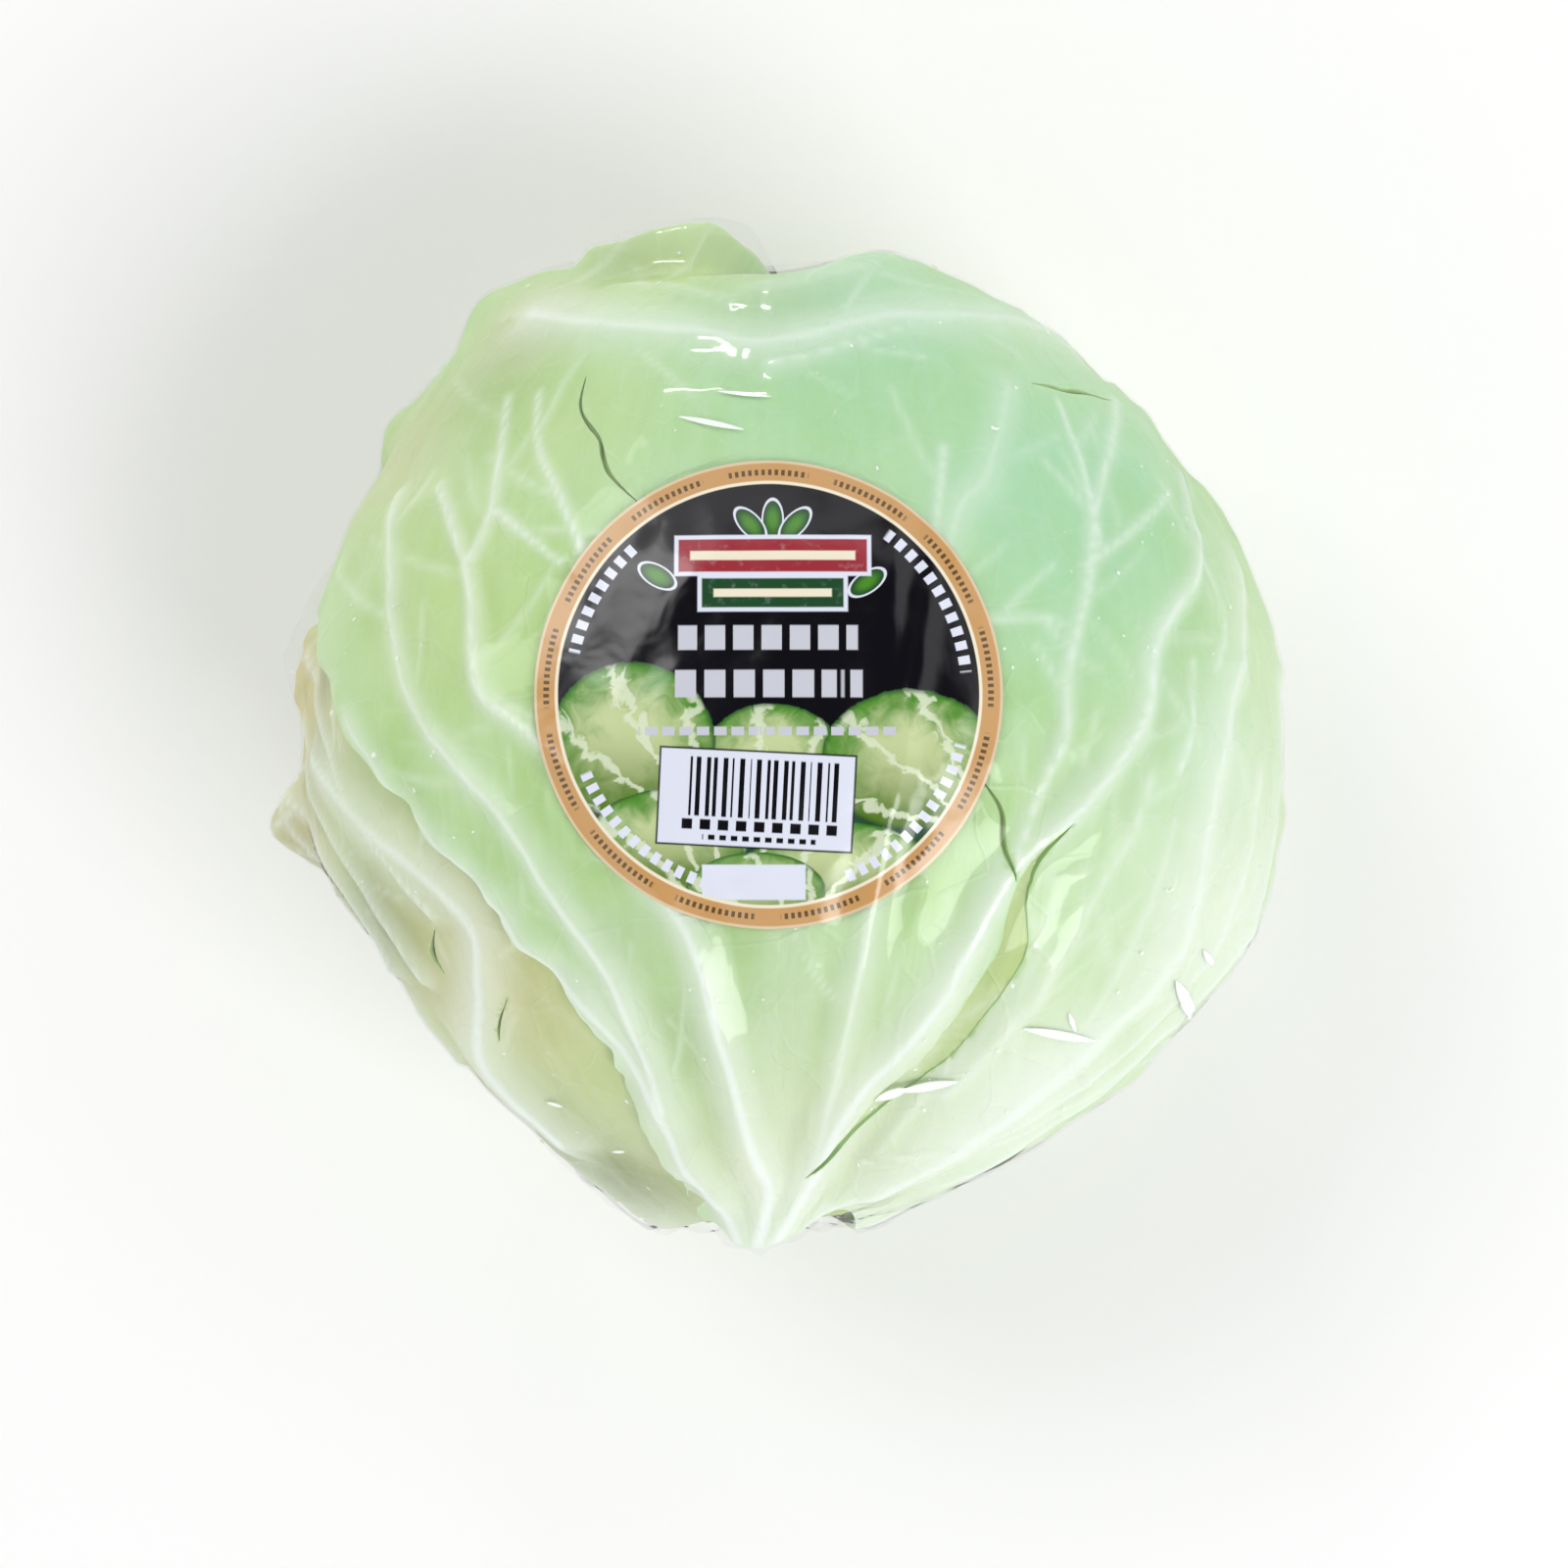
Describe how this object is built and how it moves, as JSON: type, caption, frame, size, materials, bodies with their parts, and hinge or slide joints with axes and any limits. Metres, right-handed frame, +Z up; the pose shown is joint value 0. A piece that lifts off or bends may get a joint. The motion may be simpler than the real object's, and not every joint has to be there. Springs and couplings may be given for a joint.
{
  "type": "wrapped cabbage head",
  "caption": "Pale green, slightly flattened head of cabbage lying on its side, wrapped in clear stretched film with a round dark label on top.",
  "frame": {"origin": "middle of the underside, on the surface that it rests on", "axes": "+Z up through the label, -Y towards the cut stem, +Y towards the crown, +X to the right seen from above with the stem nearest"},
  "size_m": [0.1704, 0.1716, 0.1286],
  "materials": {
    "head_leaf": null,
    "stem_flesh": null,
    "under_leaf": "wrapper leaf, waxy green with pale veins",
    "lower_left_leaf": "wrapper leaf, olive and tan towards its margin, pale veins",
    "right_leaf": "wrapper leaf, very pale waxy green with broad pale ribs",
    "left_leaf": "wrapper leaf with a ruffled margin, tan green with broad pale ribs",
    "front_leaf": "wrapper leaf, waxy pale green with whitish branching veins and a minty tint to the upper right",
    "film": "clear stretched polyethylene film, glossy, with fine creases",
    "label": null
  },
  "bodies": {
    "root": {"head": "head_leaf", "cut_stem": "stem_flesh", "under_leaf": "under_leaf", "lower_left_leaf": "lower_left_leaf", "right_leaf": "right_leaf", "left_leaf": "left_leaf", "front_leaf": "front_leaf", "cling_film": "film", "label": "label"}
  },
  "joints": []
}
